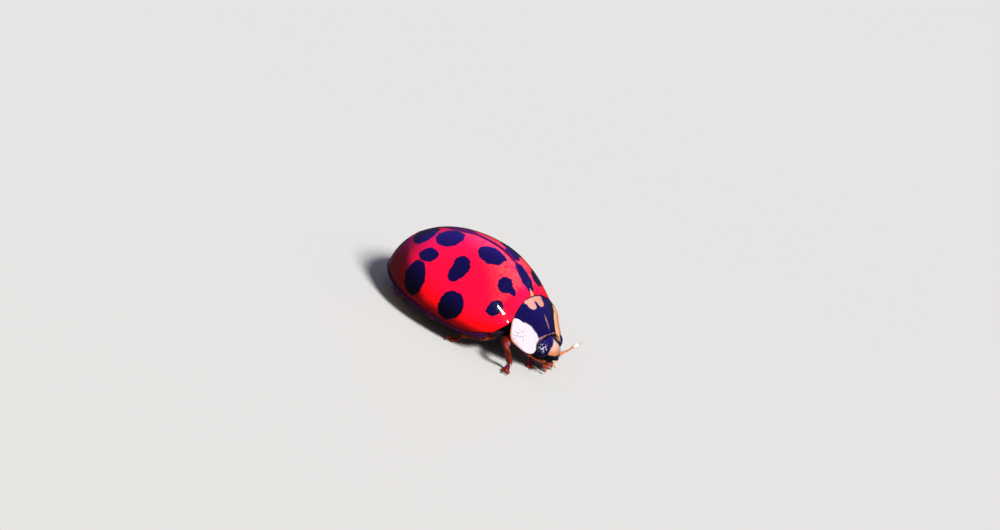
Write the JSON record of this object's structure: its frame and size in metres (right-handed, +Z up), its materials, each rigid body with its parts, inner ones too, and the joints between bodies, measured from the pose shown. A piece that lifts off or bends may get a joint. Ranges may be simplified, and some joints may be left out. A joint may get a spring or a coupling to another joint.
{
  "type": "ladybird",
  "caption": "Life-size ladybird standing on its feet, with domed red wing cases that carry black spots and a black and cream neck shield.",
  "frame": {"origin": "on the floor, under the middle of the body", "axes": "+Z up, -Y the way the head looks, +X the beetle's left side"},
  "size_m": [0.0057, 0.0067, 0.0029],
  "materials": {
    "wing_case": "polished red chitin with black spots",
    "neck_shield": "polished black chitin with cream sides",
    "body_shell": "glossy black chitin, finely pitted",
    "eye_surface": "glossy blue-black, finely faceted",
    "mouth_and_feelers": "satin orange-brown chitin",
    "leg_shell": "glossy red-brown chitin"
  },
  "bodies": {
    "root": {"elytron_left": "wing_case", "elytron_right": "wing_case", "pronotum": "neck_shield", "scutellum": "body_shell", "prothorax": "body_shell", "mesothorax": "body_shell", "metathorax": "body_shell", "abdomen_1": "body_shell", "abdomen_2": "body_shell", "abdomen_3": "body_shell", "abdomen_4": "body_shell", "abdomen_5": "body_shell", "head": "body_shell", "clypeus": "body_shell", "eye_left": "eye_surface", "eye_right": "eye_surface", "labrum": "mouth_and_feelers", "palp_left": "mouth_and_feelers", "palp_right": "mouth_and_feelers", "antenna_left": "mouth_and_feelers", "antenna_right": "mouth_and_feelers", "femur_fore_right": "leg_shell", "tibia_fore_right": "leg_shell", "tarsus_fore_right": "leg_shell", "femur_fore_left": "leg_shell", "tibia_fore_left": "leg_shell", "tarsus_fore_left": "leg_shell", "femur_mid_right": "leg_shell", "tibia_mid_right": "leg_shell", "tarsus_mid_right": "leg_shell", "femur_mid_left": "leg_shell", "tibia_mid_left": "leg_shell", "tarsus_mid_left": "leg_shell", "femur_hind_right": "leg_shell", "tibia_hind_right": "leg_shell", "tarsus_hind_right": "leg_shell", "femur_hind_left": "leg_shell", "tibia_hind_left": "leg_shell", "tarsus_hind_left": "leg_shell"}
  },
  "joints": []
}
